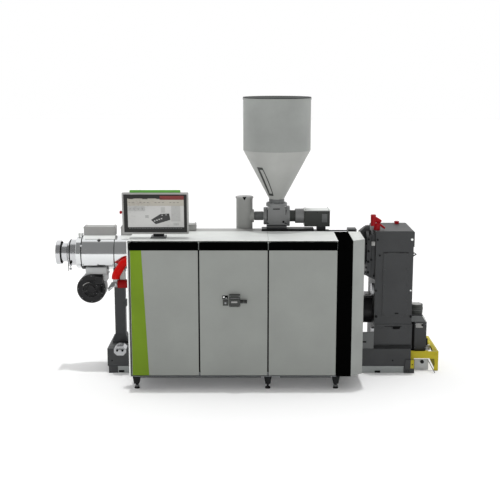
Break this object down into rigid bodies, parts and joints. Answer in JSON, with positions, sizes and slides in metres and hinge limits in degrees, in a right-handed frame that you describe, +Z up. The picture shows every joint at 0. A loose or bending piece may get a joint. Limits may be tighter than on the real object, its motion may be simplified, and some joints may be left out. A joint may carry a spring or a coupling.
{
  "type": "plastic extruder",
  "caption": "Plastics extruder with a hinged-door control cabinet, swivelling operator panel, covered barrel, feed hopper, gearbox and base frame.",
  "frame": {"origin": "on the floor under the middle of the whole machine", "axes": "+X along the machine from the melt outlet to the gearbox, +Y away from the operator's side, +Z up"},
  "size_m": [3.423, 1.094, 2.431],
  "materials": {
    "door_grey": "satin powder coat",
    "roof_grey": "satin powder coat",
    "gloss_black": "gloss",
    "leaf_green": "satin",
    "foot_black": "satin",
    "zinc_inside": "satin",
    "frame_grey": "satin",
    "skid_grey": "satin",
    "stainless": "bright rolled",
    "turned_steel": "turned",
    "box_grey": "satin",
    "fan_black": "satin",
    "pipe_red": "smooth",
    "cast_silver": "cast",
    "hopper_grey": "fine matt",
    "motor_grey": "satin",
    "panel_grey": "satin",
    "screen_glass": "gloss",
    "signal_green": "translucent",
    "stop_red": "gloss",
    "guard_yellow": "gloss"
  },
  "bodies": {
    "machine": {"cabinet_floor": "zinc_inside", "cabinet_roof": "roof_grey", "cabinet_side": "roof_grey", "cabinet_rear": "zinc_inside", "cabinet_posts": "zinc_inside", "end_band": "gloss_black", "end_bevel": "door_grey", "cable_duct": "box_grey", "cabinet_feet": "foot_black", "swivel_foot": "panel_grey", "base_beams": "frame_grey", "base_crossbars": "frame_grey", "floor_skids": "skid_grey", "frame_feet": "foot_black", "outlet_flange": "turned_steel", "clamp_ring": "turned_steel", "barrel": "turned_steel", "nose_cover": "stainless", "main_cover": "stainless", "middle_cover": "stainless", "rear_cover": "stainless", "terminal_boxes": "box_grey", "cooling_fan": "fan_black", "fan_duct": "stainless", "barrel_columns": "frame_grey", "pipe_manifold": "box_grey", "red_pipes": "pipe_red", "ball_valve": "cast_silver", "drain_manifold": "cast_silver", "gearbox_fittings": "cast_silver", "feed_block": "frame_grey", "gearbox_adapter": "frame_grey", "gearbox": "frame_grey", "coupling_housing": "fan_black", "drive_motor": "motor_grey", "gearbox_breather": "stop_red", "oil_cooler": "frame_grey", "oil_pump": "motor_grey", "guard_posts": "guard_yellow", "guard_rails": "guard_yellow", "feeder_rail": "frame_grey", "feeder_body": "hopper_grey", "down_pipe": "hopper_grey", "feeder_drive": "motor_grey", "hopper_cone": "hopper_grey", "hopper_drum": "hopper_grey"},
    "left_door": {"door_left": "door_grey", "door_left_fascia": "gloss_black", "green_stripe": "leaf_green"},
    "middle_door": {"door_middle": "door_grey", "door_middle_fascia": "gloss_black", "isolator_switch": "motor_grey"},
    "right_door": {"door_right": "door_grey", "door_right_fascia": "gloss_black"},
    "operator_panel": {"swivel_head": "foot_black", "panel_housing": "panel_grey", "panel_glass": "screen_glass", "signal_bar": "signal_green", "stop_button": "stop_red"}
  },
  "joints": [
    {"name": "left_door_hinge", "type": "hinge", "parent": "machine", "child": "left_door", "pos_m": [-0.963, -0.486, 0.698], "axis": [0, 0, -1], "range_deg": [0, 105]},
    {"name": "middle_door_hinge", "type": "hinge", "parent": "machine", "child": "middle_door", "pos_m": [-0.386, -0.486, 0.698], "axis": [0, 0, -1], "range_deg": [0, 105]},
    {"name": "right_door_hinge", "type": "hinge", "parent": "machine", "child": "right_door", "pos_m": [0.191, -0.486, 0.698], "axis": [0, 0, -1], "range_deg": [0, 105]},
    {"name": "operator_panel_swivel", "type": "hinge", "parent": "machine", "child": "operator_panel", "pos_m": [-0.743, -0.32, 1.3], "axis": [0, 0, 1], "range_deg": [-60, 60]}
  ]
}
